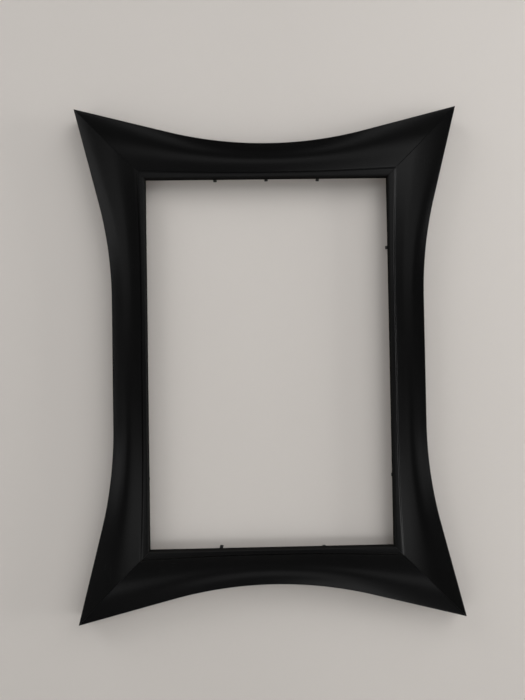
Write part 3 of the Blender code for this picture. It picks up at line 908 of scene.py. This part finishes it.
def screw_piece(side):
    """A pan-head screw with a cross recess and a threaded shank."""
    node = f"hanger_{side}_screw"
    low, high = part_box(node)
    radius = (high.x - low.x) / 2
    under = high.y - HEAD_HEIGHT
    bulge = HEAD_HEIGHT / 2
    crown = arc_points((radius - bulge, bulge), bulge, 90, -10, HEAD_STEPS)
    crest = SHANK_DIAMETER / 2
    profile = [(0.0, HEAD_HEIGHT), *crown, (radius * HEAD_FOOT, 0.0), (crest, 0.0)]
    length = high.y - low.y - HEAD_HEIGHT
    for i in range(THREADS):
        top = -THREAD_START - (length - THREAD_LEFT_OUT) * i / THREADS
        profile += [(SHANK_DIAMETER * THREAD_ROOT, top), (crest, top - length * THREAD_PITCH)]
    profile += [(SHANK_DIAMETER * POINT_ROOT, -length * POINT_START), (0.0, -length)]
    centre = (low + high) / 2
    driven = Matrix.Rotation(math.radians(SCREW_TURNS[side]), 4, "Y")
    place = Matrix.Translation((centre.x, under, centre.z)) @ driven
    name = node + "_driven"
    screw = add_piece(name, turned(profile), ZINC, place, SHARP_TURNED)
    punch = cross_recess(place @ Matrix.Translation((0, HEAD_HEIGHT, 0)))
    recess = screw.modifiers.new("recess", "BOOLEAN")
    recess.solver = "EXACT"
    recess.object = punch
    bpy.context.view_layer.update()
    graph = bpy.context.evaluated_depsgraph_get()
    cut = bpy.data.meshes.new_from_object(screw.evaluated_get(graph))
    screw.modifiers.remove(recess)
    screw.data = cut
    bpy.data.objects.remove(punch)
    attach(screw, "frame")
    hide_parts(node)


def bumper_piece(side):
    """A moulded bumper: a flat sticky base, a rounded flank and a slightly hollow face."""
    node = "bumper_" + side
    low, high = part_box(node)
    base = (high.x - low.x) / 2
    tall = high.y - low.y
    face = base * BUMPER_FACE
    profile = [(face * across, tall * up) for across, up in BUMPER_HOLLOW]
    flank = base - face
    profile += arc_points((face, tall - flank), flank, 90, 0, BUMPER_STEPS)
    profile += [(base * across, tall * up) for across, up in BUMPER_FOOT]
    centre = (low + high) / 2
    place = Matrix.Translation((centre.x, low.y, centre.z))
    name = node + "_moulded"
    bumper = add_piece(name, turned(profile), RUBBER, place, SHARP_TURNED)
    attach(bumper, "frame")
    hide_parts(node)


def lamp(name, azimuth, elevation, distance, width, height, glow, spread):
    """A soft panel that shines at the frame; glow is its brightness, where 1 looks white.

    A spread below 180 degrees is a grid on the panel, which keeps its light off the wall beside it.
    """
    a, e = math.radians(azimuth), math.radians(elevation)
    place = Vector((math.sin(a) * math.cos(e), -math.cos(a) * math.cos(e), math.sin(e))) * distance
    light = bpy.data.lights.new(name, "AREA")
    light.shape = "RECTANGLE"
    light.size = width
    light.size_y = height
    light.energy = glow * width * height * math.pi
    if spread < 180:
        half = math.radians(spread / 2)
        light.spread = 2 * half
        light.energy *= 1 - half / math.tan(half)
    panel = bpy.data.objects.new(name, light)
    panel.location = place
    panel.rotation_euler = (-place).to_track_quat("-Z", "Y").to_euler()
    bpy.context.scene.collection.objects.link(panel)


def stage_plane(name, corners, finish):
    """A flat part of the stage."""
    data = bpy.data.meshes.new(name)
    data.from_pydata(corners, [], [(0, 1, 2, 3)])
    data.materials.append(finish)
    plane = bpy.data.objects.new(name, data)
    bpy.context.scene.collection.objects.link(plane)


def studio():
    """Wall, floor, lamps and the pale surroundings."""
    wide = STAGE_HALF_WIDTH
    wall = [(-wide, 0, FLOOR_Z), (wide, 0, FLOOR_Z), (wide, 0, WALL_TOP), (-wide, 0, WALL_TOP)]
    stage_plane("wall", wall, wall_paint())
    front = [(-wide, -FLOOR_FRONT, FLOOR_Z), (wide, -FLOOR_FRONT, FLOOR_Z)]
    back = [(wide, FLOOR_BACK, FLOOR_Z), (-wide, FLOOR_BACK, FLOOR_Z)]
    stage_plane("floor", front + back, floor_paint())
    for name, settings in LAMPS.items():
        lamp(name, *settings)
    world = bpy.data.worlds.new("studio")
    world.use_nodes = True
    bpy.context.scene.world = world
    background = world.node_tree.nodes["Background"]
    background.inputs["Color"].default_value = colour((1.0, 1.0, 1.0))
    background.inputs["Strength"].default_value = SURROUNDINGS


def photo_camera():
    """The camera at the photograph's place, aim and lens."""
    data = bpy.data.cameras.new("photo_camera")
    data.sensor_width = SENSOR
    data.lens = FOCAL_PIXELS / PICTURE_HEIGHT * SENSOR
    data.shift_x = (PICTURE_WIDTH / 2 - CENTRE_PIXEL[0]) / PICTURE_HEIGHT
    data.shift_y = (CENTRE_PIXEL[1] - PICTURE_HEIGHT / 2) / PICTURE_HEIGHT
    camera = bpy.data.objects.new("photo_camera", data)
    camera.location = CAMERA_PLACE
    camera.rotation_euler = Euler([math.radians(part) for part in CAMERA_DEGREES])
    bpy.context.scene.collection.objects.link(camera)
    bpy.context.scene.camera = camera


FLARE_RUN = SIGHT_HALF_WIDTH + TIP_OFFSET
FLARE_ANGLE = flare_angle()
ARRIS = arris_points()
SCOOP = scoop_points()

SATIN = satin_paint()
MATT_BLACK = matt_black()
ZINC = steel_finish("zinc_steel")
NAIL_STEEL = steel_finish("nail_steel")
# Framing points' steel, darkened as painted shade
POINT_STEEL_PAINTED_SHADE = steel_finish("point_steel")
RUBBER = bumper_rubber()

photo_camera()
for rail_side in RAIL_TURNS:
    rail_piece(rail_side)
for name in frame["nodes"]:
    if name.startswith("v_nail"):
        v_nail_piece(name)
for joint in frame["joints"]:
    words = joint["name"].split("_")
    if words[0] == "bend":
        node = "point_" + "_".join(words[1:])
        bend = bend_frame(joint, words[1])
        shank_piece(node, bend)
        tongue_piece(node, bend)
    else:
        hanger_side = words[1]
        axis = Vector(joint["pos_m"])
        strap_piece(hanger_side, axis)
        ring_piece(hanger_side, axis)
        screw_piece(hanger_side)
        bumper_piece(hanger_side)
studio()
bpy.context.scene.view_settings.view_transform = "Standard"
